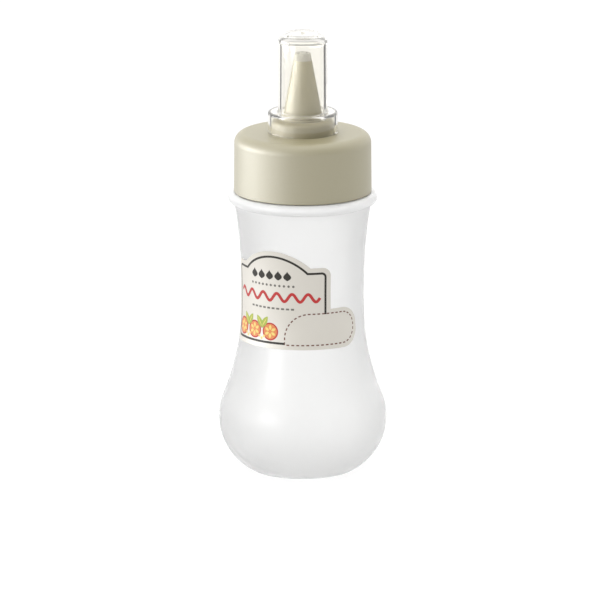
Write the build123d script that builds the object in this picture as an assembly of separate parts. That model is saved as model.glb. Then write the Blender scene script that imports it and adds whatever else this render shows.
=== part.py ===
"""Condiment squeeze bottle with a screw cap, a five-hole nozzle and a clear dust cover.

Millimetres and degrees. The bottle stands on z = 0 with its axis on Z and +Z up.
The front is -Y and +X is the viewer's right. Angles round the label count from the
front, positive to the viewer's right. Outlines are drawn as (radius, height).
"""

import os
from math import asin, copysign, cos, degrees, hypot, radians, sin, sqrt, tan

from build123d import *

# Bottle body, from the table up
BASE_RADIUS = 21.3
FOOT_WIDTH = 3.0
HEEL_ROUND = 4.0
PUNT_DEPTH = 2.0
BELLY_RADIUS = 36.5
BELLY_HEIGHT = 23.6
HIP_LENGTH = 49.8
WAIST_RADIUS = 26.7
WAIST_LENGTH = 10.1
FLARE_LENGTH = 35.6
BODY_WALL = 1.2
BASE_WALL = 1.4
PINCH_LENGTH = 24.0
PINCH_WIDTH = 0.8
PINCH_HEIGHT = 0.4

# Bead round the shoulder, just under the cap and a little wider than it
BEAD_OVERHANG = 2.6
BEAD_ROUND = 2.4
BEAD_CREASE_ANGLE = 97.0

# Neck and its thread
MOUTH_RADIUS = 24.4
NECK_WALL = 1.6
NECK_LENGTH = 23.1
NECK_ROOT_ROUND = 0.8
LIP_ROUND = 0.4
THREAD_PITCH = 4.0
THREAD_DEPTH = 1.6
THREAD_FLANK_ANGLE = 18.0
THREAD_RADIAL_CLEARANCE = 0.5
THREAD_FLANK_CLEARANCE = 0.45
THREAD_ROOTING = 0.5
NECK_THREAD_TURNS = 1.5
CAP_THREAD_TURNS = 1.25
THREAD_BELOW_LIP = 4.0

# Screw cap
CAP_WALL = 1.7
CAP_TOP_WALL = 1.8
SKIRT_GAP = 0.3
SKIRT_DRAFT = 0.2
SHOULDER_ROUND = 4.6
CAP_INNER_ROUND = 1.6
RIM_ROUND = 0.35
COLLAR_WALL = 1.4
COLLAR_DEPTH = 5.0
COLLAR_CLEARANCE = 1.8

# Boss and nozzle cone, moulded in one with the cap
BOSS_RADIUS = 13.7
BOSS_HEIGHT = 6.1
BOSS_WALL = 1.5
BOSS_ROUND = 2.0
CONE_BASE_RADIUS = 8.8
CONE_TIP_RADIUS = 3.4
CONE_HEIGHT = 29.2
CONE_WALL = 1.5
CONE_FOOT_ROUND = 0.5

# Five-hole tip, seated in the end of the cone
TIP_BAND = 3.1
SPIGOT_LENGTH = 4.0
CONE_END_WALL = 1.05
SPIGOT_CLEARANCE = 0.05
TIP_ROUND = 0.3
HOLE_COUNT = 5
HOLE_RADIUS = 0.5
HOLE_EDGE_WALL = 0.55
FIRST_HOLE_ANGLE = -32.0

# Sealing washer between the bottle's lip and the cap
GASKET_THICKNESS = 1.5
GASKET_CLEARANCE = 0.3

# Clear dust cover
COVER_SKIRT_CLEARANCE = 0.3
COVER_SKIRT_WALL = 1.25
COVER_SKIRT_HEIGHT = 9.4
COVER_SKIRT_ROUND = 1.1
COVER_CORNER_ROUND = 0.5
COVER_STEP_THICKNESS = 1.4
COVER_TUBE_CLEARANCE = 0.6
COVER_TUBE_WALL = 1.5
COVER_TUBE_DRAFT = 0.2
COVER_SEAT_CLEARANCE = 0.3
COVER_HEADROOM = 6.5
COVER_CEILING = 2.2
COVER_TOP_ROUND = 3.4
COVER_INNER_ROUND = 2.8
GATE_RADIUS = 0.9
GATE_HEIGHT = 0.7

# Label wrapped round the waist
LABEL_THICKNESS = 0.2
LABEL_GLUE = 0.05
LABEL_BELOW_WAIST = 14.2
LABEL_HEIGHT = 36.2
LABEL_WIDTH = 51.4
LABEL_CENTRE_ANGLE = -28.5
LABEL_CORNER = 3.8
ARCH_WIDTH = 31.7
ARCH_RISE = 7.0
LOBE_HEIGHT = 17.6
LOBE_WIDTH = 14.5
LOBE_CORNER = 8.6

# Heights that follow from the sizes above
WAIST_BOTTOM = BELLY_HEIGHT + HIP_LENGTH
WAIST_TOP = WAIST_BOTTOM + WAIST_LENGTH
CREASE_HEIGHT = WAIST_TOP + FLARE_LENGTH
BEAD_HEIGHT = CREASE_HEIGHT + BEAD_ROUND * sin(radians(BEAD_CREASE_ANGLE))
NECK_BASE = BEAD_HEIGHT + BEAD_ROUND
LIP_HEIGHT = NECK_BASE + NECK_LENGTH
CAP_UNDERSIDE = LIP_HEIGHT + GASKET_THICKNESS
CAP_TOP = CAP_UNDERSIDE + CAP_TOP_WALL
SKIRT_BOTTOM = NECK_BASE + SKIRT_GAP
BOSS_TOP = CAP_TOP + BOSS_HEIGHT
NOZZLE_TOP = BOSS_TOP + CONE_HEIGHT
TIP_SEAT = NOZZLE_TOP - TIP_BAND
COVER_TOP = NOZZLE_TOP + COVER_HEADROOM + COVER_CEILING
LABEL_BOTTOM = WAIST_BOTTOM - LABEL_BELOW_WAIST
LABEL_SHOULDER = LABEL_BOTTOM + LABEL_HEIGHT
LOBE_TOP = LABEL_BOTTOM + LOBE_HEIGHT

# Radii that follow from the sizes above
NECK_RADIUS = MOUTH_RADIUS + NECK_WALL
CAP_BORE_RADIUS = NECK_RADIUS + THREAD_DEPTH + THREAD_RADIAL_CLEARANCE
CAP_RADIUS = CAP_BORE_RADIUS + CAP_WALL
BEAD_CENTRE_RADIUS = CAP_RADIUS + BEAD_OVERHANG - BEAD_ROUND
CREASE_RADIUS = BEAD_CENTRE_RADIUS + BEAD_ROUND * cos(radians(BEAD_CREASE_ANGLE))
COLLAR_RADIUS = MOUTH_RADIUS - COLLAR_CLEARANCE
CONE_SLOPE = (CONE_BASE_RADIUS - CONE_TIP_RADIUS) / CONE_HEIGHT
CONE_END_RADIUS = CONE_TIP_RADIUS + CONE_SLOPE * TIP_BAND
TIP_BORE_RADIUS = CONE_END_RADIUS - CONE_END_WALL
SPIGOT_RADIUS = TIP_BORE_RADIUS - SPIGOT_CLEARANCE
HOLE_RING_RADIUS = SPIGOT_RADIUS - HOLE_EDGE_WALL - HOLE_RADIUS

# Heights of the threads' centre lines where each one starts
NECK_THREAD_START = LIP_HEIGHT - THREAD_BELOW_LIP - NECK_THREAD_TURNS * THREAD_PITCH
CAP_THREAD_START = NECK_THREAD_START - THREAD_PITCH / 2

# Arcs of the body's wall: each is tangent to the next, and upright at the belly and waist.
# The flare's arc is negative where the waist is wider than the crease.
BELLY_ARC = ((BELLY_RADIUS - BASE_RADIUS) ** 2 + BELLY_HEIGHT**2) / (2 * (BELLY_RADIUS - BASE_RADIUS))
BELLY_CENTRE = BELLY_RADIUS - BELLY_ARC
WAIST_REACH = WAIST_RADIUS - BELLY_CENTRE
HIP_ARC = (WAIST_REACH**2 + HIP_LENGTH**2 - BELLY_ARC**2) / (2 * (BELLY_ARC - WAIST_REACH))
HIP_CENTRE = WAIST_RADIUS + HIP_ARC
HIP_RISE = HIP_LENGTH / hypot(HIP_CENTRE - BELLY_CENTRE, HIP_LENGTH)
FLARE_REACH = CREASE_RADIUS - WAIST_RADIUS
FLARE_ARC = (FLARE_REACH**2 + FLARE_LENGTH**2) / (2 * FLARE_REACH)
FLARE_CENTRE = WAIST_RADIUS + FLARE_ARC
PUNT_RADIUS = BASE_RADIUS - FOOT_WIDTH
PUNT_ARC = (PUNT_RADIUS**2 + PUNT_DEPTH**2) / (2 * PUNT_DEPTH)

# Angles of the label's sides
LABEL_LEFT_ANGLE = LABEL_CENTRE_ANGLE - degrees(LABEL_WIDTH / 2 / WAIST_RADIUS)
LABEL_RIGHT_ANGLE = LABEL_CENTRE_ANGLE + degrees(LABEL_WIDTH / 2 / WAIST_RADIUS)
LOBE_ANGLE = LABEL_RIGHT_ANGLE + degrees(LOBE_WIDTH / WAIST_RADIUS)


def front_angle(angle):
    """Angle from +X for an angle counted from the front."""
    return angle - 90


def hip_start(offset):
    """Height where the belly's arc hands over to the hip's arc."""
    return BELLY_HEIGHT + (BELLY_ARC + offset) * HIP_RISE


def wall_point(height, offset):
    """Point of the body's wall at a height, on the outer surface moved outwards by offset."""
    if height <= hip_start(offset):
        return BELLY_CENTRE + sqrt((BELLY_ARC + offset) ** 2 - (height - BELLY_HEIGHT) ** 2), height
    if height < WAIST_BOTTOM:
        return HIP_CENTRE - sqrt((HIP_ARC - offset) ** 2 - (height - WAIST_BOTTOM) ** 2), height
    if height <= WAIST_TOP:
        return WAIST_RADIUS + offset, height
    reach = sqrt((FLARE_ARC - offset) ** 2 - (height - WAIST_TOP) ** 2)
    return FLARE_CENTRE - copysign(reach, FLARE_ARC), height


def wall_path(low, high, offset=0.0):
    """The body's wall between two heights, as arcs and the waist's straight line."""
    breaks = [h for h in (hip_start(offset), WAIST_BOTTOM, WAIST_TOP) if low < h < high]
    stops = [low, *breaks, high]
    edges = []
    for start, end in zip(stops, stops[1:]):
        ends = wall_point(start, offset), wall_point(end, offset)
        if start >= WAIST_BOTTOM and end <= WAIST_TOP:
            edges.append(Line(*ends))
        else:
            edges.append(ThreePointArc(ends[0], wall_point((start + end) / 2, offset), ends[1]))
    return edges


def dome_point(radius, offset):
    """Point of the base's dome at a radius, on its underside moved upwards by offset."""
    return radius, PUNT_DEPTH - PUNT_ARC + sqrt((PUNT_ARC + offset) ** 2 - radius**2)


def bead_arc(radius, start_angle, end_angle):
    """Arc about the bead's centre. Angles count from level, positive upwards."""
    centre = (BEAD_CENTRE_RADIUS, BEAD_HEIGHT)
    return CenterArc(centre, radius, start_angle, end_angle - start_angle)


def lathe(outline, rounds=()):
    """Turns a closed outline about the axis. Each round is ((radius, height), fillet)."""
    face = make_face(outline)
    for place, fillet_radius in rounds:
        corner = face.vertices().sort_by_distance((*place, 0))[0]
        face = fillet(corner, fillet_radius)
    return revolve(Plane.XZ * face, Axis.Z)


def thread(root, direction, start_height, turns):
    """Helical ridge on a wall at radius root: direction is 1 outwards and -1 inwards."""
    middle_radius = (NECK_RADIUS + CAP_BORE_RADIUS) / 2
    half_middle = (THREAD_PITCH / 2 - THREAD_FLANK_CLEARANCE) / 2
    flank = tan(radians(THREAD_FLANK_ANGLE))
    inner = root - direction * THREAD_ROOTING
    crest = root + direction * THREAD_DEPTH
    half_inner = half_middle + abs(middle_radius - inner) * flank
    half_crest = half_middle - abs(crest - middle_radius) * flank
    section = Polyline(
        (inner, -half_inner),
        (crest, -half_crest),
        (crest, half_crest),
        (inner, half_inner),
        close=True,
    )
    path = Helix(THREAD_PITCH, turns * THREAD_PITCH, root)
    ridge = sweep(Plane.XZ * make_face(section), path, is_frenet=True)
    return Pos(0, 0, start_height) * ridge


def pinch_line():
    """Raised line left across the base's dome where the mould closed on the tube."""
    skin = Sphere(PUNT_ARC + BASE_WALL / 2) - Sphere(PUNT_ARC - PINCH_HEIGHT)
    bar = Pos(0, 0, PUNT_ARC) * Box(PINCH_LENGTH, PINCH_WIDTH, 2 * (PUNT_DEPTH + BASE_WALL))
    return Pos(0, 0, PUNT_DEPTH - PUNT_ARC) * (skin & bar)


def make_bottle_body():
    """Blown shell: domed base, belly, waist, hollow bead and threaded neck."""
    floor_edge = sqrt((PUNT_ARC + BASE_WALL) ** 2 - (PUNT_ARC - PUNT_DEPTH + BASE_WALL) ** 2)
    inner_bead = BEAD_ROUND - BODY_WALL
    shoulder_inside = BEAD_HEIGHT + inner_bead
    foot = (BASE_RADIUS, 0)
    neck_root = (NECK_RADIUS, NECK_BASE)
    lip_outside = (NECK_RADIUS, LIP_HEIGHT)
    lip_inside = (MOUTH_RADIUS, LIP_HEIGHT)
    outside = [
        ThreePointArc((0, PUNT_DEPTH), dome_point(PUNT_RADIUS / 2, 0), (PUNT_RADIUS, 0)),
        Line((PUNT_RADIUS, 0), foot),
        *wall_path(0, CREASE_HEIGHT),
        bead_arc(BEAD_ROUND, -BEAD_CREASE_ANGLE, 0),
        bead_arc(BEAD_ROUND, 0, 90),
        Line((BEAD_CENTRE_RADIUS, NECK_BASE), neck_root),
        Line(neck_root, lip_outside),
    ]
    inside = [
        Line(lip_outside, lip_inside),
        Line(lip_inside, (MOUTH_RADIUS, shoulder_inside)),
        Line((MOUTH_RADIUS, shoulder_inside), (BEAD_CENTRE_RADIUS, shoulder_inside)),
        bead_arc(inner_bead, 90, 0),
        bead_arc(inner_bead, 0, -90),
        Line((BEAD_CENTRE_RADIUS, BEAD_HEIGHT - inner_bead), wall_point(CREASE_HEIGHT, -BODY_WALL)),
        *reversed(wall_path(BASE_WALL, CREASE_HEIGHT, -BODY_WALL)),
        Line(wall_point(BASE_WALL, -BODY_WALL), (floor_edge, BASE_WALL)),
        ThreePointArc(
            (floor_edge, BASE_WALL),
            dome_point(floor_edge / 2, BASE_WALL),
            (0, PUNT_DEPTH + BASE_WALL),
        ),
        Line((0, PUNT_DEPTH + BASE_WALL), (0, PUNT_DEPTH)),
    ]
    rounds = [
        (foot, HEEL_ROUND),
        (neck_root, NECK_ROOT_ROUND),
        (lip_outside, LIP_ROUND),
        (lip_inside, LIP_ROUND),
    ]
    shell = lathe(outside + inside, rounds)
    neck_thread = thread(NECK_RADIUS, 1, NECK_THREAD_START, NECK_THREAD_TURNS)
    return shell + neck_thread + pinch_line()


def make_screw_cap():
    """One moulding: threaded skirt, flat top, boss, hollow nozzle cone and inner collar."""
    collar_inside = COLLAR_RADIUS - COLLAR_WALL
    collar_bottom = CAP_UNDERSIDE - COLLAR_DEPTH
    boss_inside = BOSS_RADIUS - BOSS_WALL
    boss_ceiling = BOSS_TOP - BOSS_WALL
    spigot_seat = TIP_SEAT - SPIGOT_LENGTH
    skirt_outside = (CAP_RADIUS + SKIRT_DRAFT, SKIRT_BOTTOM)
    skirt_inside = (CAP_BORE_RADIUS, SKIRT_BOTTOM)
    shoulder = (CAP_RADIUS, CAP_TOP)
    inner_shoulder = (CAP_BORE_RADIUS, CAP_UNDERSIDE)
    boss_edge = (BOSS_RADIUS, BOSS_TOP)
    cone_foot = (CONE_BASE_RADIUS, BOSS_TOP)
    outline = Polyline(
        skirt_outside,
        shoulder,
        (BOSS_RADIUS, CAP_TOP),
        boss_edge,
        cone_foot,
        (CONE_END_RADIUS, TIP_SEAT),
        (TIP_BORE_RADIUS, TIP_SEAT),
        (TIP_BORE_RADIUS, spigot_seat),
        (CONE_BASE_RADIUS - CONE_WALL, boss_ceiling),
        (boss_inside, boss_ceiling),
        (boss_inside, CAP_UNDERSIDE),
        (collar_inside, CAP_UNDERSIDE),
        (collar_inside, collar_bottom),
        (COLLAR_RADIUS, collar_bottom),
        (COLLAR_RADIUS, CAP_UNDERSIDE),
        inner_shoulder,
        skirt_inside,
        close=True,
    )
    rounds = [
        (skirt_outside, RIM_ROUND),
        (skirt_inside, RIM_ROUND),
        (shoulder, SHOULDER_ROUND),
        (inner_shoulder, CAP_INNER_ROUND),
        (boss_edge, BOSS_ROUND),
        (cone_foot, CONE_FOOT_ROUND),
    ]
    cap_thread = thread(CAP_BORE_RADIUS, -1, CAP_THREAD_START, CAP_THREAD_TURNS)
    return lathe(outline, rounds) + cap_thread


def make_nozzle_tip():
    """Pale insert that ends the cone: a tapered band on a spigot, pierced by a ring of holes."""
    spigot_bottom = TIP_SEAT - SPIGOT_LENGTH
    outline = Polyline(
        (0, spigot_bottom),
        (SPIGOT_RADIUS, spigot_bottom),
        (SPIGOT_RADIUS, TIP_SEAT),
        (CONE_END_RADIUS, TIP_SEAT),
        (CONE_TIP_RADIUS, NOZZLE_TOP),
        (0, NOZZLE_TOP),
        close=True,
    )
    tip = lathe(outline, [((CONE_TIP_RADIUS, NOZZLE_TOP), TIP_ROUND)])
    length = NOZZLE_TOP - spigot_bottom
    drill = Pos(HOLE_RING_RADIUS, 0, spigot_bottom + length / 2) * Cylinder(HOLE_RADIUS, 2 * length)
    for index in range(HOLE_COUNT):
        tip -= Rot(0, 0, front_angle(FIRST_HOLE_ANGLE) + index * 360 / HOLE_COUNT) * drill
    return tip


def make_sealing_gasket():
    """Soft washer that lies under the cap's top, round its collar, and on the bottle's lip."""
    inside = COLLAR_RADIUS + GASKET_CLEARANCE
    outline = Polyline(
        (inside, LIP_HEIGHT),
        (NECK_RADIUS, LIP_HEIGHT),
        (NECK_RADIUS, CAP_UNDERSIDE),
        (inside, CAP_UNDERSIDE),
        close=True,
    )
    return lathe(outline)


def make_dust_cover():
    """Clear cover: a tube over the cone, carried by a wider skirt that slips over the boss."""
    skirt_inside = BOSS_RADIUS + COVER_SKIRT_CLEARANCE
    skirt_outside = skirt_inside + COVER_SKIRT_WALL
    step_top = CAP_TOP + COVER_SKIRT_HEIGHT
    tube_inside = CONE_BASE_RADIUS + COVER_TUBE_CLEARANCE
    tube_outside = tube_inside + COVER_TUBE_WALL
    tube_bottom = BOSS_TOP + COVER_SEAT_CLEARANCE
    ceiling = COVER_TOP - COVER_CEILING
    step_edge = (skirt_outside, step_top)
    step_corner = (tube_outside, step_top)
    top_edge = (tube_outside - COVER_TUBE_DRAFT, COVER_TOP)
    inner_edge = (tube_inside - COVER_TUBE_DRAFT, ceiling)
    rim_outside = (skirt_outside, CAP_TOP)
    outline = Polyline(
        (0, COVER_TOP),
        top_edge,
        step_corner,
        step_edge,
        rim_outside,
        (skirt_inside, CAP_TOP),
        (skirt_inside, step_top - COVER_STEP_THICKNESS),
        (tube_outside, step_top - COVER_STEP_THICKNESS),
        (tube_outside, tube_bottom),
        (tube_inside, tube_bottom),
        inner_edge,
        (0, ceiling),
        close=True,
    )
    rounds = [
        (top_edge, COVER_TOP_ROUND),
        (inner_edge, COVER_INNER_ROUND),
        (step_edge, COVER_SKIRT_ROUND),
        (step_corner, COVER_CORNER_ROUND),
        (rim_outside, RIM_ROUND),
    ]
    gate = Pos(0, 0, COVER_TOP) * Cylinder(GATE_RADIUS, 2 * GATE_HEIGHT)
    return lathe(outline, rounds) + gate


def label_skin(low, high, left_angle, right_angle):
    """Piece of the label that hugs the wall between two heights and two angles."""
    back, front = LABEL_GLUE, LABEL_GLUE + LABEL_THICKNESS
    outline = [
        *wall_path(low, high, back),
        Line(wall_point(high, back), wall_point(high, front)),
        *reversed(wall_path(low, high, front)),
        Line(wall_point(low, front), wall_point(low, back)),
    ]
    skin = revolve(Plane.XZ * make_face(outline), Axis.Z, right_angle - left_angle)
    return Rot(0, 0, front_angle(left_angle)) * skin


def radial_rod(radius):
    """Rod that points out of the front, to cut round shapes square to the wall."""
    length = 2 * WAIST_RADIUS
    return Plane.XZ * Cylinder(radius, length, align=(Align.CENTER, Align.CENTER, Align.MIN))


def corner_cutter(angle, height, side, up, radius):
    """What a rounded corner leaves off. side is 1 on the right, and up is 1 at the top."""
    centre_angle = angle - side * degrees(asin(radius / wall_point(height, LABEL_THICKNESS)[0]))
    block = Pos(side * radius, -WAIST_RADIUS, up * radius) * Box(2 * radius, WAIST_RADIUS, 2 * radius)
    return Rot(0, 0, centre_angle) * Pos(0, 0, height - up * radius) * (block - radial_rod(radius))


def make_label_sticker():
    """One die-cut sticker: main panel, arched top and a lower lobe to the right."""
    panel = label_skin(LABEL_BOTTOM, LABEL_SHOULDER, LABEL_LEFT_ANGLE, LABEL_RIGHT_ANGLE)
    lobe = label_skin(LABEL_BOTTOM, LOBE_TOP, LABEL_RIGHT_ANGLE, LOBE_ANGLE)
    arch_radius = ((ARCH_WIDTH / 2) ** 2 + ARCH_RISE**2) / (2 * ARCH_RISE)
    arch_top = LABEL_SHOULDER + ARCH_RISE
    cutter = Pos(0, 0, arch_top - arch_radius) * radial_rod(arch_radius)
    cutter = Rot(0, 0, LABEL_CENTRE_ANGLE) * cutter
    arch = label_skin(LABEL_SHOULDER, arch_top + ARCH_RISE, LABEL_LEFT_ANGLE, LABEL_RIGHT_ANGLE)
    label = panel + lobe + (arch & cutter)
    corners = [
        (LABEL_LEFT_ANGLE, LABEL_BOTTOM, -1, -1, LABEL_CORNER),
        (LABEL_LEFT_ANGLE, LABEL_SHOULDER, -1, 1, LABEL_CORNER),
        (LABEL_RIGHT_ANGLE, LABEL_SHOULDER, 1, 1, LABEL_CORNER),
        (LOBE_ANGLE, LOBE_TOP, 1, 1, LOBE_CORNER),
        (LOBE_ANGLE, LABEL_BOTTOM, 1, -1, LOBE_CORNER),
    ]
    for corner in corners:
        label -= corner_cutter(*corner)
    return label


parts = {
    "bottle_body": make_bottle_body(),
    "label_sticker": make_label_sticker(),
    "sealing_gasket": make_sealing_gasket(),
    "screw_cap": make_screw_cap(),
    "nozzle_tip": make_nozzle_tip(),
    "dust_cover": make_dust_cover(),
}

os.makedirs("parts", exist_ok=True)
for name, shape in parts.items():
    export_step(shape, f"parts/{name}.step")
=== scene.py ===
# Looks for the condiment squeeze bottle: materials, the label's print, camera and light.
# Metres throughout, except that the label and the wall under it are in millimetres until label_point.

from math import asin, cos, degrees, hypot, pi, radians, sin, sqrt

import bmesh
import bpy
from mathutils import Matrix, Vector


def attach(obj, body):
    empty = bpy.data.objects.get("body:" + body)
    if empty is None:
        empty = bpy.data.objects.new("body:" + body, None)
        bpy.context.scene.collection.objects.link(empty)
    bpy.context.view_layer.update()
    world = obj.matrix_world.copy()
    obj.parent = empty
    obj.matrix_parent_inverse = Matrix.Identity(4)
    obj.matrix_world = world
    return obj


MM = 0.001

# Camera, as the photo was taken
CAMERA_ELEVATION = 13.0
CAMERA_DISTANCE = 8.0
CAMERA_LENS = 1101.0
CAMERA_SENSOR = 36
CAMERA_CLIP = (0.05, 50)
CAMERA_TARGET = (-0.0012, 0.0, 0.0752)

# The wall under the label, and where the label lies on it
WAIST_RADIUS = 26.7
WAIST_BOTTOM = 73.4
WAIST_TOP = 83.5
HIP_ARC = 105.512
FLARE_ARC = 212.2
LABEL_LIFT = 0.25
LABEL_BOTTOM = 59.2
LABEL_CENTRE_ANGLE = -28.5
LABEL_RADIUS = WAIST_RADIUS + LABEL_LIFT

# The printed border follows the label's edge this far inside it
SHOULDER_LINE = 33.8
FOOT_LINE = 2.5
SIDE_LINE = 23.5
ARCH_CENTRE = 21.76
ARCH_LINE_RADIUS = 19.04
CORNER_LINE_RADIUS = 1.8
BORDER_WIDTH = 0.95

# The dashed frame of the write-on field
FIELD_LEFT = 5.5
FIELD_RIGHT = 38.5
FIELD_BOTTOM = 2.0
FIELD_TOP = 15.75
FIELD_LEFT_ROUND = 11.0
DASH_LENGTH = 1.2
DASH_GAP = 0.9
DASH_WIDTH = 0.55

# How far print lies above the paper, how thick it is, and how far one layer lies above another
PRINT_LIFT = 0.03
PRINT_THICKNESS = 0.02
LAYER = 0.015

# How finely print is drawn: the steps along a line and up a disc, the rows of a patch, the points
# in each millimetre of a wave, and the places across a patch as shares of its half width
STEP = 0.5
DISC_STEP = 0.3
LEAST_ROWS = 6
DROP_ROWS = 14
WAVE_POINTS = 6
ACROSS = (-1, -0.5, 0, 0.5, 1)

# A turn sharper than one whose half has this cosine gets a shortened mitre
MITRE_COSINE = 0.4

# Points of print nearer together than this, in metres, are joined
SAME_POINT = 1e-7

# Drops, a row of dots, a wavy sauce line and a dashed rule, from the top down
DROPS_MIDDLE = -1.8
DROPS_HEIGHT = 32.6
DROP_PITCH = 4.2
DROP_SIZE = 4.4
DROP_GIRTH = 0.62
DROP_TAPER = 0.75
DOTS_HEIGHT = 28.0
DOTS_LEFT = -11.7
DOT_PITCH = 2.1
DOT_COUNT = 11
DOT_RADIUS = 0.55
SAUCE_HEIGHT = 22.9
SAUCE_SWING = 1.7
SAUCE_WAVE = 7.0
SAUCE_REACH = 21
SAUCE_WIDTH = 1.3
RULE_HEIGHT = 17.8
RULE_LEFT = -12
RULE_RIGHT = 9.6
RULE_WIDTH = 0.8
RULE_DASH = 1.4
RULE_GAP = 0.9

# A frieze of round slices, with a sprig of two leaves and three grains between each two
SLICES = [(-19.0, 7.3), (-10.2, 7.3), (-1.4, 7.3)]
RIND_RADIUS = 3.9
FLESH_RADIUS = 3.3
SEEDS_A_SLICE = 6
SEED_RING = 1.8
SEED_LENGTH = 2.3
SEED_WIDTH = 1.3
SPRIGS = [(-14.6, 8.6), (-5.8, 8.6)]
LEAF_TAPER = 0.8
LEAF_LENGTH = 6.4
LEAF_WIDTH = 2.7
LEAF_TURN = 32
LEAF_SPREAD = 2.4
LEAF_FOOT = 1.1
LEAF_RISE = 1.6
RIB_LENGTH = 5.2
RIB_WIDTH = 0.35
GRAIN_PITCH = 1.3
GRAIN_DROP = 4.6
GRAIN_RISE = 0.9
GRAIN_RADIUS = 0.6

# The room's light and the floor, where a brightness of 1 is plain white. The light dims towards
# DIM_SIDE, as the cosine of the angle from it goes from DIM_FROM to DIM_FULL.
WORLD_LIGHT = 1.45
DIM_LIGHT = 0.78
DIM_SIDE = (0.5, -0.85, 0.15)
DIM_FROM = 0.1
DIM_FULL = 0.85
FLOOR_HALF_SIDE = 8.0
FLOOR_HEIGHT = -0.0002
FLOOR_GLOW = 0.94
LIGHT_BOUNCES = 32

# Softboxes, two from the left at one height and one above
SIDE_AIM = (0, 0, 0.17)
SIDE_TALL = 0.28
KEY_PLACE = (-0.75, 0.02, 0.17)
KEY_WIDTH = 0.72
KEY_BRIGHTNESS = 8.2
FILL_PLACE = (-0.562, -0.497, 0.17)
FILL_WIDTH = 0.36
FILL_BRIGHTNESS = 3.2
TOP_PLACE = (-0.2, -0.25, 1.5)
TOP_AIM = (0, 0, 0)
TOP_WIDTH = 1.3
TOP_DEPTH = 1.0
TOP_BRIGHTNESS = 1.9

# Two dark upright cards behind the cover, from one place on the plan to another
UPRIGHT_LOW = 0.12
UPRIGHT_HIGH = 0.23
LEFT_CARD = ((-0.08, 0.097), (-0.101, 0.077))
RIGHT_CARD = ((0.069, 0.104), (0.101, 0.077))

# A sloping card that hangs over the cover from behind. Its run goes from its low edge to its high
# one, and each band lies between two shares of the run and has its own glow.
SLOPE_HALF_WIDTH = 0.08
SLOPE_LOW_Y = 0.15
SLOPE_LOW_Z = 0.22
SLOPE_RUN_Y = -0.13
SLOPE_RUN_Z = 0.12
SLOPE_BANDS = [
    ("flag_pale_low", 0, 0.08, 0.9),
    ("flag_line", 0.08, 0.25, 0.38),
    ("flag_pale_middle", 0.25, 0.6, 0.95),
    ("flag_faint_line", 0.6, 0.8, 0.65),
    ("flag_pale_high", 0.8, 1, 0.95),
]

# The bead is thicker than the wall, so that less light goes through it
WALL_CLEARNESS = 0.94
BEAD_CLEARNESS = 0.5
BEAD_FOOT = 0.1165
BEAD_MIDDLE = 0.119

# Most of a noise lies between these values
NOISE_LOW = 0.3
NOISE_HIGH = 0.7

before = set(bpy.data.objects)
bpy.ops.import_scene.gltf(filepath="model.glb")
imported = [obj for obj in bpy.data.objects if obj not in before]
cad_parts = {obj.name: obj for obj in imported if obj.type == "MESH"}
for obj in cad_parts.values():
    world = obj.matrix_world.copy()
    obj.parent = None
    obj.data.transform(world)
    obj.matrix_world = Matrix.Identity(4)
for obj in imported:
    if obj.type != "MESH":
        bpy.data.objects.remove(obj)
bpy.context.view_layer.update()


# Materials
class Nodes:
    """Short ways to add nodes to a new material."""

    def __init__(self, name):
        self.material = bpy.data.materials.new(name)
        self.material.use_nodes = True
        self.tree = self.material.node_tree
        self.shader = self.tree.nodes["Principled BSDF"]

    def add(self, kind, links=(), values=(), **settings):
        """A new node with its sockets linked or set, and its settings."""
        node = self.tree.nodes.new(kind)
        for key, value in settings.items():
            setattr(node, key, value)
        for key, value in dict(values).items():
            node.inputs[key].default_value = value
        for key, source in dict(links).items():
            self.tree.links.new(source, node.inputs[key])
        return node

    def drive(self, **sources):
        """Links values to the shader's sockets. An underscore stands for a space."""
        for key, source in sources.items():
            self.tree.links.new(source, self.shader.inputs[key.replace("_", " ")])

    def fix(self, **values):
        """Sets the shader's sockets. An underscore stands for a space."""
        for key, value in values.items():
            self.shader.inputs[key.replace("_", " ")].default_value = value

    def place(self, stretch=(1, 1, 1)):
        """Place on the piece in metres, stretched along each axis."""
        source = self.add("ShaderNodeTexCoord").outputs["Object"]
        mapping = self.add("ShaderNodeMapping", {"Vector": source}, {"Scale": stretch})
        return mapping.outputs["Vector"]

    def noise(self, vector, scale, detail=2.0):
        """Smooth noise, with about scale grains in a metre."""
        values = {"Scale": scale, "Detail": detail}
        return self.add("ShaderNodeTexNoise", {"Vector": vector}, values).outputs["Fac"]

    def ramp(self, value, start, end, low, high):
        """From low to high as value goes from start to end, and level beyond."""
        values = {"From Min": start, "From Max": end, "To Min": low, "To Max": high}
        return self.add("ShaderNodeMapRange", {"Value": value}, values).outputs["Result"]

    def spread(self, noise, low, high):
        """From low to high as a noise goes over its usual range."""
        return self.ramp(noise, NOISE_LOW, NOISE_HIGH, low, high)

    def tint(self, value, low, high):
        """Colour from low to high as value goes from 0 to 1."""
        node = self.add("ShaderNodeMix", data_type="RGBA")
        node.inputs["A"].default_value = (*low, 1)
        node.inputs["B"].default_value = (*high, 1)
        self.tree.links.new(value, node.inputs["Factor"])
        return node.outputs["Result"]

    def bump(self, height, distance, strength, under=None):
        """Surface relief from a height, on top of other relief."""
        links = {"Height": height} if under is None else {"Height": height, "Normal": under}
        values = {"Distance": distance, "Strength": strength}
        return self.add("ShaderNodeBump", links, values).outputs["Normal"]


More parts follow.
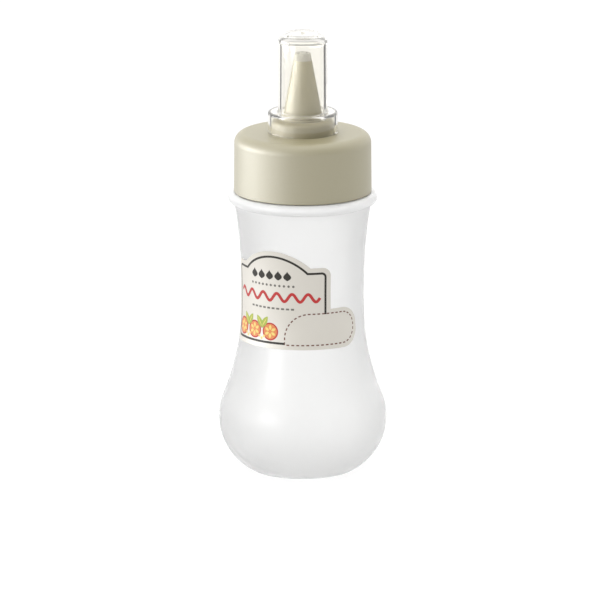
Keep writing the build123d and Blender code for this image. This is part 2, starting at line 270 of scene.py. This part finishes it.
def moulded_plastic(name, low, high, roughness, shine):
    """Satin moulded plastic with a faint mottle, a fine grain and a slow ripple."""
    nodes = Nodes(name)
    place = nodes.place()
    grain = nodes.noise(place, 2600)
    ripple = nodes.bump(nodes.noise(place, 90, detail=1), distance=0.00012, strength=0.25)
    nodes.drive(
        Base_Color=nodes.tint(nodes.noise(place, 60, detail=3), low, high),
        Roughness=nodes.spread(grain, roughness - 0.04, roughness + 0.05),
        Normal=nodes.bump(grain, distance=0.00002, strength=0.35, under=ripple),
    )
    nodes.fix(IOR=1.9, Specular_IOR_Level=shine, Coat_Weight=shine / 2, Coat_Roughness=0.4)
    return nodes.material


def frosted_plastic():
    """Milky blown plastic with upright draw lines and a fine frost, less see-through at its bead."""
    nodes = Nodes("frosted_plastic")
    streaks = nodes.noise(nodes.place((1, 1, 0.06)), 420)
    frost = nodes.noise(nodes.place(), 1500)
    height = nodes.add("ShaderNodeSeparateXYZ", {"Vector": nodes.place()}).outputs["Z"]
    draw_lines = nodes.bump(streaks, distance=0.00006, strength=0.2)
    nodes.drive(
        Base_Color=nodes.tint(streaks, (0.978, 0.978, 0.974), (0.996, 0.996, 0.992)),
        Roughness=nodes.spread(frost, 0.34, 0.44),
        Normal=nodes.bump(frost, distance=0.00002, strength=0.3, under=draw_lines),
        Transmission_Weight=nodes.ramp(height, BEAD_FOOT, BEAD_MIDDLE, WALL_CLEARNESS, BEAD_CLEARNESS),
    )
    nodes.fix(IOR=1.5, Specular_IOR_Level=0.15, Coat_Weight=0.3, Coat_Roughness=0.12)
    return nodes.material


def clear_plastic():
    """Clear polished plastic with a very slow ripple."""
    nodes = Nodes("clear_plastic")
    place = nodes.place()
    nodes.drive(
        Roughness=nodes.spread(nodes.noise(place, 900), 0.02, 0.05),
        Normal=nodes.bump(nodes.noise(place, 160, detail=1), distance=0.00005, strength=0.12),
    )
    nodes.fix(Base_Color=(0.945, 0.93, 0.885, 1), IOR=1.49, Transmission_Weight=1.0)
    return nodes.material


def label_paper():
    """Smooth coated paper with faint fibres."""
    nodes = Nodes("label_paper")
    place = nodes.place()
    fibre = nodes.noise(place, 1800, detail=4)
    cloud = nodes.noise(place, 90)
    waves = nodes.bump(cloud, distance=0.0002, strength=0.15)
    nodes.drive(
        Base_Color=nodes.tint(cloud, (0.55, 0.52, 0.46), (0.59, 0.56, 0.50)),
        Roughness=nodes.spread(fibre, 0.36, 0.46),
        Normal=nodes.bump(fibre, distance=0.00002, strength=0.25, under=waves),
    )
    nodes.fix(IOR=1.6, Specular_IOR_Level=1.0)
    return nodes.material


def ink(name, colour):
    """Printed colour with a slight mottle."""
    nodes = Nodes(name)
    place = nodes.place()
    pale = tuple(min(1, c * 1.12 + 0.01) for c in colour)
    nodes.drive(
        Base_Color=nodes.tint(nodes.noise(place, 700, detail=3), colour, pale),
        Roughness=nodes.spread(nodes.noise(place, 1800, detail=4), 0.36, 0.46),
    )
    nodes.fix(Specular_IOR_Level=0.25)
    return nodes.material


FINISHES = {
    "bottle_body": frosted_plastic(),
    "screw_cap": moulded_plastic(
        "cap_plastic", (0.207, 0.177, 0.07), (0.223, 0.191, 0.08), roughness=0.56, shine=1.0
    ),
    "nozzle_tip": moulded_plastic(
        "tip_plastic", (0.45, 0.44, 0.395), (0.48, 0.47, 0.425), roughness=0.55, shine=0.1
    ),
    "sealing_gasket": moulded_plastic(
        "seal_rubber", (0.62, 0.62, 0.59), (0.68, 0.68, 0.65), roughness=0.6, shine=0.4
    ),
    "label_sticker": label_paper(),
    "dust_cover": clear_plastic(),
}
for node, finish in FINISHES.items():
    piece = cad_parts[node]
    piece.data.materials.clear()
    piece.data.materials.append(finish)


# The label's print, drawn as thin patches over the paper
def wall_radius(height):
    """Radius of the bottle's outer wall near the label."""
    if height < WAIST_BOTTOM:
        return WAIST_RADIUS + HIP_ARC - sqrt(HIP_ARC**2 - (WAIST_BOTTOM - height) ** 2)
    if height > WAIST_TOP:
        return WAIST_RADIUS + FLARE_ARC - sqrt(FLARE_ARC**2 - (height - WAIST_TOP) ** 2)
    return WAIST_RADIUS


def label_point(place, lift):
    """Point on the label: across from its centre line along the wall, and up from its edge."""
    across, up = place
    height = LABEL_BOTTOM + up
    radius = wall_radius(height) + LABEL_LIFT + lift
    angle = radians(LABEL_CENTRE_ANGLE - 90) + across / LABEL_RADIUS
    return Vector((radius * cos(angle), radius * sin(angle), height)) * MM


def line(start, end):
    """Places from start to end, a step apart."""
    count = max(1, round(hypot(end[0] - start[0], end[1] - start[1]) / STEP))
    spans = [(a, b - a) for a, b in zip(start, end)]
    return [tuple(a + d * i / count for a, d in spans) for i in range(count + 1)]


def arc(centre, radius, start, end):
    """Places on an arc. Angles are in degrees, anticlockwise from the right."""
    count = max(2, round(abs(radians(end - start)) * radius / STEP))
    angles = [radians(start + (end - start) * i / count) for i in range(count + 1)]
    return [(centre[0] + radius * cos(a), centre[1] + radius * sin(a)) for a in angles]


def wrapped(place):
    """A place drawn flat, seen square on, laid along the wall."""
    across, up = place
    radius = wall_radius(LABEL_BOTTOM + up) + LABEL_LIFT
    return LABEL_RADIUS * asin(across / radius), up


def stretch_of(path, start, end):
    """The part of a path between two distances along it."""
    found, gone = [], 0.0
    for a, b in zip(path, path[1:]):
        length = hypot(b[0] - a[0], b[1] - a[1])
        if length == 0:
            continue
        for mark in (start, end):
            if gone <= mark < gone + length:
                share = (mark - gone) / length
                found.append((a[0] + (b[0] - a[0]) * share, a[1] + (b[1] - a[1]) * share))
        gone += length
        if start < gone < end:
            found.append(b)
    return found


def path_length(path):
    """Length along a path from its first place to its last."""
    return sum(hypot(b[0] - a[0], b[1] - a[1]) for a, b in zip(path, path[1:]))


def ribbon(path, width):
    """A strip of rows along a path, mitred where it turns."""
    rows = []
    last = len(path) - 1
    for i, (x, y) in enumerate(path):
        before, after = path[max(i - 1, 0)], path[min(i + 1, last)]
        sides = []
        for a, b in ((before, (x, y)), ((x, y), after)):
            length = hypot(b[0] - a[0], b[1] - a[1])
            if length > 0:
                sides.append(Vector(((a[1] - b[1]) / length, (b[0] - a[0]) / length)))
        normal = sum(sides, Vector((0, 0))).normalized()
        reach = width / 2 / max(MITRE_COSINE, normal.dot(sides[0]))
        rows.append([(x + normal.x * reach * s, y + normal.y * reach * s) for s in (-1, 1)])
    return rows


def dashes(path, width, length, gap):
    """Strips along a path with gaps between them."""
    count = round((path_length(path) + gap) / (length + gap))
    pitch = (path_length(path) + gap) / count
    return [ribbon(stretch_of(path, i * pitch, i * pitch + length), width) for i in range(count)]


def leaf(centre, length, width, turn):
    """A pointed oval. turn is its long axis, in degrees from upright."""
    lengthways = Vector((-sin(radians(turn)), cos(radians(turn))))
    sideways = Vector((lengthways.y, -lengthways.x))
    rows = []
    count = max(LEAST_ROWS, round(length / STEP))
    for i in range(count + 1):
        share = i / count
        middle = Vector(centre) + lengthways * length * (share - 0.5)
        half = width / 2 * sin(pi * share) ** LEAF_TAPER if 0 < share < 1 else 0
        rows.append([tuple(middle + sideways * half * side) for side in ACROSS])
    return rows


def level_row(middle, half):
    """Places level with the middle, as far as half to either side."""
    return [(middle[0] + half * side, middle[1]) for side in ACROSS]


def drop(centre, height):
    """A falling drop: a point above a round belly."""
    rows = []
    for i in range(DROP_ROWS + 1):
        share = i / DROP_ROWS
        half = DROP_GIRTH * height * sin(pi * share) * (1 - share) ** DROP_TAPER if share < 1 else 0
        rows.append(level_row((centre[0], centre[1] + height * (share - 0.5)), half))
    return rows


def disc(centre, radius):
    """A round patch, drawn as rows across it."""
    rows = []
    count = max(LEAST_ROWS, round(2 * radius / DISC_STEP))
    for i in range(count + 1):
        angle = pi * i / count
        half = radius * sin(angle) if 0 < i < count else 0
        rows.append(level_row((centre[0], centre[1] - radius * cos(angle)), half))
    return rows


def add_print(name, shapes, material, layer=0):
    """One piece of print from strips of rows, thickened inwards to a thin solid."""
    lift = PRINT_LIFT + layer * LAYER
    mesh = bpy.data.meshes.new(name)
    build = bmesh.new()
    for rows in shapes:
        grid = [[build.verts.new(label_point(place, lift)) for place in row] for row in rows]
        for lower, upper in zip(grid, grid[1:]):
            for j in range(len(lower) - 1):
                build.faces.new((lower[j], lower[j + 1], upper[j + 1], upper[j]))
    bmesh.ops.remove_doubles(build, verts=build.verts, dist=SAME_POINT)
    bmesh.ops.dissolve_degenerate(build, edges=build.edges, dist=SAME_POINT)
    bmesh.ops.recalc_face_normals(build, faces=build.faces)
    for face in build.faces:
        middle = face.calc_center_median()
        if face.normal.dot(Vector((middle.x, middle.y, 0))) < 0:
            face.normal_flip()
    build.to_mesh(mesh)
    build.free()
    mesh.materials.append(material)
    piece = bpy.data.objects.new(name, mesh)
    bpy.context.scene.collection.objects.link(piece)
    body = piece.modifiers.new("thickness", "SOLIDIFY")
    body.thickness = PRINT_THICKNESS * MM
    body.offset = -1
    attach(piece, "bottle")


def border_path():
    """The dark outline: from the write-on field up, over the arch and down to the field."""
    reach = sqrt(ARCH_LINE_RADIUS**2 - (SHOULDER_LINE - ARCH_CENTRE) ** 2)
    rise = degrees(asin((SHOULDER_LINE - ARCH_CENTRE) / ARCH_LINE_RADIUS))
    foot, corner = wrapped((reach, SHOULDER_LINE))[0], CORNER_LINE_RADIUS
    arch = [wrapped(p) for p in arc((0, ARCH_CENTRE), ARCH_LINE_RADIUS, rise, 180 - rise)]
    right, left = SIDE_LINE - corner, corner - SIDE_LINE
    top, bottom = SHOULDER_LINE - corner, FOOT_LINE + corner
    pieces = [
        line((SIDE_LINE, FIELD_TOP - DASH_WIDTH / 2), (SIDE_LINE, top)),
        arc((right, top), corner, 0, 90),
        line((right, SHOULDER_LINE), (foot, SHOULDER_LINE)),
        arch,
        line((-foot, SHOULDER_LINE), (left, SHOULDER_LINE)),
        arc((left, top), corner, 90, 180),
        line((-SIDE_LINE, top), (-SIDE_LINE, bottom)),
        arc((left, bottom), corner, 180, 270),
        line((left, FOOT_LINE), (FIELD_LEFT, FOOT_LINE)),
    ]
    return joined(pieces)


def field_path():
    """The dashed outline of the write-on field, once round from its lower left corner."""
    half = (FIELD_TOP - FIELD_BOTTOM) / 2
    turn = (FIELD_LEFT + FIELD_LEFT_ROUND, FIELD_TOP - FIELD_LEFT_ROUND)
    end = (FIELD_RIGHT - half, FIELD_BOTTOM + half)
    return joined(
        [
            line((FIELD_LEFT, FIELD_BOTTOM), (FIELD_LEFT, turn[1])),
            arc(turn, FIELD_LEFT_ROUND, 180, 90),
            line((turn[0], FIELD_TOP), (end[0], FIELD_TOP)),
            arc(end, half, 90, -90),
            line((end[0], FIELD_BOTTOM), (FIELD_LEFT + DASH_GAP, FIELD_BOTTOM)),
        ]
    )


def joined(pieces):
    """One path from pieces that follow on, without the doubled ends."""
    path = list(pieces[0])
    for piece in pieces[1:]:
        path += piece[1:]
    return path


def sauce_path():
    """A wavy line across the label."""
    path = []
    for i in range(-SAUCE_REACH * WAVE_POINTS, SAUCE_REACH * WAVE_POINTS + 1):
        wave = sin(2 * pi * i / WAVE_POINTS / SAUCE_WAVE)
        path.append((i / WAVE_POINTS, SAUCE_HEIGHT + SAUCE_SWING * wave))
    return path


def slice_seeds(centre):
    """Pointed ovals in a ring, each along its own radius."""
    seeds = []
    for i in range(SEEDS_A_SLICE):
        turn = 360 * i / SEEDS_A_SLICE
        x = centre[0] - SEED_RING * sin(radians(turn))
        y = centre[1] + SEED_RING * cos(radians(turn))
        seeds.append(leaf((x, y), SEED_LENGTH, SEED_WIDTH, turn))
    return seeds


def sprig_leaves(foot, length, width):
    """Two leaves, or their ribs, that lean apart."""
    leaves = []
    for turn in (-LEAF_TURN, LEAF_TURN):
        x = foot[0] - sin(radians(turn)) * LEAF_SPREAD
        y = foot[1] + LEAF_FOOT + cos(radians(turn)) * LEAF_RISE
        leaves.append(leaf((x, y), length, width, turn))
    return leaves


def sprig_grains(foot):
    """Three grains under a sprig, the middle one lowest."""
    grains = []
    for i in (-1, 0, 1):
        x = foot[0] + GRAIN_PITCH * i
        y = foot[1] - GRAIN_DROP + GRAIN_RISE * abs(i)
        grains.append(disc((x, y), GRAIN_RADIUS))
    return grains


black = ink("ink_black", (0.022, 0.02, 0.016))
grey = ink("ink_grey", (0.13, 0.125, 0.11))
brown = ink("ink_brown", (0.13, 0.055, 0.04))
red = ink("ink_red", (0.42, 0.028, 0.028))
orange = ink("ink_orange", (0.62, 0.21, 0.07))
yellow = ink("ink_yellow", (0.72, 0.55, 0.16))
green = ink("ink_green", (0.34, 0.42, 0.07))

drops = [drop((DROPS_MIDDLE + DROP_PITCH * i, DROPS_HEIGHT), DROP_SIZE) for i in range(-2, 3)]
dots = [disc((DOTS_LEFT + DOT_PITCH * i, DOTS_HEIGHT), DOT_RADIUS) for i in range(DOT_COUNT)]
rule = line((RULE_LEFT, RULE_HEIGHT), (RULE_RIGHT, RULE_HEIGHT))
add_print("label_border", [ribbon(border_path(), BORDER_WIDTH)], black)
add_print("label_field_dashes", dashes(field_path(), DASH_WIDTH, DASH_LENGTH, DASH_GAP), brown)
add_print("label_sauce_line", [ribbon(sauce_path(), SAUCE_WIDTH)], red)
add_print("label_drops", drops, black)
add_print("label_dots", dots, grey)
add_print("label_rule", dashes(rule, RULE_WIDTH, RULE_DASH, RULE_GAP), grey)
seeds, leaves, ribs, grains = [], [], [], []
for centre in SLICES:
    seeds += slice_seeds(centre)
for foot in SPRIGS:
    leaves += sprig_leaves(foot, LEAF_LENGTH, LEAF_WIDTH)
    ribs += sprig_leaves(foot, RIB_LENGTH, RIB_WIDTH)
    grains += sprig_grains(foot)
add_print("label_slice_rinds", [disc(centre, RIND_RADIUS) for centre in SLICES], red)
add_print("label_slice_flesh", [disc(centre, FLESH_RADIUS) for centre in SLICES], orange, layer=1)
add_print("label_slice_seeds", seeds, yellow, layer=2)
add_print("label_leaves", leaves, green)
add_print("label_leaf_ribs", ribs, yellow, layer=1)
add_print("label_grains", grains, yellow)


# Camera, lamps, floor and cards
def add_camera():
    """A long lens from far off, so that upright edges stay parallel."""
    data = bpy.data.cameras.new("photo_camera")
    data.sensor_width, data.lens = CAMERA_SENSOR, CAMERA_LENS
    data.clip_start, data.clip_end = CAMERA_CLIP
    camera = bpy.data.objects.new("photo_camera", data)
    bpy.context.scene.collection.objects.link(camera)
    rise = radians(CAMERA_ELEVATION)
    back = Vector((0, -cos(rise), sin(rise)))
    camera.location = Vector(CAMERA_TARGET) + back * CAMERA_DISTANCE
    camera.rotation_mode = "QUATERNION"
    camera.rotation_quaternion = (-back).to_track_quat("-Z", "Y")
    bpy.context.scene.camera = camera


def leave_out(lamp, piece):
    """Makes the lamp light everything but this piece."""
    spared = bpy.data.collections.new("spared_by_" + lamp.name)
    spared.objects.link(piece)
    spared.collection_objects[0].light_linking.link_state = "EXCLUDE"
    lamp.light_linking.receiver_collection = spared


def add_softbox(name, place, aim, width, height, brightness, shows_in):
    """A softbox that shows in gloss and through plastic, or else on matt surfaces only."""
    data = bpy.data.lights.new(name, "AREA")
    data.shape = "RECTANGLE"
    data.size, data.size_y = width, height
    data.energy = brightness * pi * width * height
    lamp = bpy.data.objects.new(name, data)
    bpy.context.scene.collection.objects.link(lamp)
    lamp.location = place
    lamp.rotation_mode = "QUATERNION"
    lamp.rotation_quaternion = (Vector(aim) - Vector(place)).to_track_quat("-Z", "Y")
    lamp.visible_camera = False
    lamp.visible_diffuse = shows_in == "matt"
    lamp.visible_glossy = lamp.visible_transmission = shows_in == "gloss"
    return lamp


def add_sheet(name, corners, low, high, glow):
    """A flat sheet of the set, which isn't part of the object."""
    mesh = bpy.data.meshes.new(name)
    mesh.from_pydata(corners, [], [tuple(range(len(corners)))])
    sheet = bpy.data.objects.new(name, mesh)
    bpy.context.scene.collection.objects.link(sheet)
    nodes = Nodes(name)
    nodes.drive(Base_Color=nodes.tint(nodes.noise(nodes.place(), 3), low, high))
    nodes.fix(Roughness=0.8, Specular_IOR_Level=0, Emission_Color=(1, 1, 1, 1), Emission_Strength=glow)
    mesh.materials.append(nodes.material)
    return sheet


def add_world():
    """Pale light from all sides, dimmer from behind the camera's right shoulder."""
    world = bpy.data.worlds.new("studio")
    bpy.context.scene.world = world
    world.use_nodes = True
    tree = world.node_tree
    facing = tree.nodes.new("ShaderNodeVectorMath")
    facing.operation = "DOT_PRODUCT"
    facing.inputs[1].default_value = Vector(DIM_SIDE).normalized()
    source = tree.nodes.new("ShaderNodeTexCoord").outputs["Generated"]
    tree.links.new(source, facing.inputs[0])
    fall = tree.nodes.new("ShaderNodeMapRange")
    fall.interpolation_type = "SMOOTHSTEP"
    values = {"From Min": DIM_FROM, "From Max": DIM_FULL, "To Min": WORLD_LIGHT, "To Max": DIM_LIGHT}
    for key, value in values.items():
        fall.inputs[key].default_value = value
    tree.links.new(facing.outputs["Value"], fall.inputs["Value"])
    background = tree.nodes["Background"]
    background.inputs["Color"].default_value = (1, 1, 1, 1)
    tree.links.new(fall.outputs["Result"], background.inputs["Strength"])


def add_flag(name, corners, glow=0):
    """A dark or dimly glowing card, which only light that has passed through plastic meets."""
    card = add_sheet(name, corners, (0, 0, 0), (0.01, 0.01, 0.01), glow)
    card.visible_camera = card.visible_diffuse = card.visible_glossy = card.visible_shadow = False


def add_upright_flag(name, ends):
    """A dark upright card that stands over a line on the plan."""
    start, end = ends
    low, high = UPRIGHT_LOW, UPRIGHT_HIGH
    add_flag(name, [(*start, low), (*end, low), (*end, high), (*start, high)])


def slope_corner(side, share):
    """Place on the left edge (-1) or right edge (1) of the sloping card, at a share of its run."""
    return side * SLOPE_HALF_WIDTH, SLOPE_LOW_Y + SLOPE_RUN_Y * share, SLOPE_LOW_Z + SLOPE_RUN_Z * share


bpy.context.scene.view_settings.view_transform = "Standard"
cycles = bpy.context.scene.cycles
cycles.max_bounces = cycles.transmission_bounces = cycles.glossy_bounces = LIGHT_BOUNCES
add_camera()
add_world()
floor_signs = ((-1, -1), (1, -1), (1, 1), (-1, 1))
floor_corners = [(x * FLOOR_HALF_SIDE, y * FLOOR_HALF_SIDE, FLOOR_HEIGHT) for x, y in floor_signs]
add_sheet("floor", floor_corners, (0.09, 0.09, 0.09), (0.10, 0.10, 0.10), FLOOR_GLOW)
key = add_softbox("key", KEY_PLACE, SIDE_AIM, KEY_WIDTH, SIDE_TALL, KEY_BRIGHTNESS, "gloss")
leave_out(key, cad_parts["bottle_body"])
add_softbox("fill", FILL_PLACE, SIDE_AIM, FILL_WIDTH, SIDE_TALL, FILL_BRIGHTNESS, "gloss")
add_softbox("top", TOP_PLACE, TOP_AIM, TOP_WIDTH, TOP_DEPTH, TOP_BRIGHTNESS, "matt")
add_upright_flag("flag_left", LEFT_CARD)
add_upright_flag("flag_right", RIGHT_CARD)
for name, start, stop, glow in SLOPE_BANDS:
    corners = [(-1, start), (1, start), (1, stop), (-1, stop)]
    add_flag(name, [slope_corner(side, share) for side, share in corners], glow)

# The clear cover casts no shadow, so that the nozzle inside it is lit
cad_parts["dust_cover"].visible_shadow = False
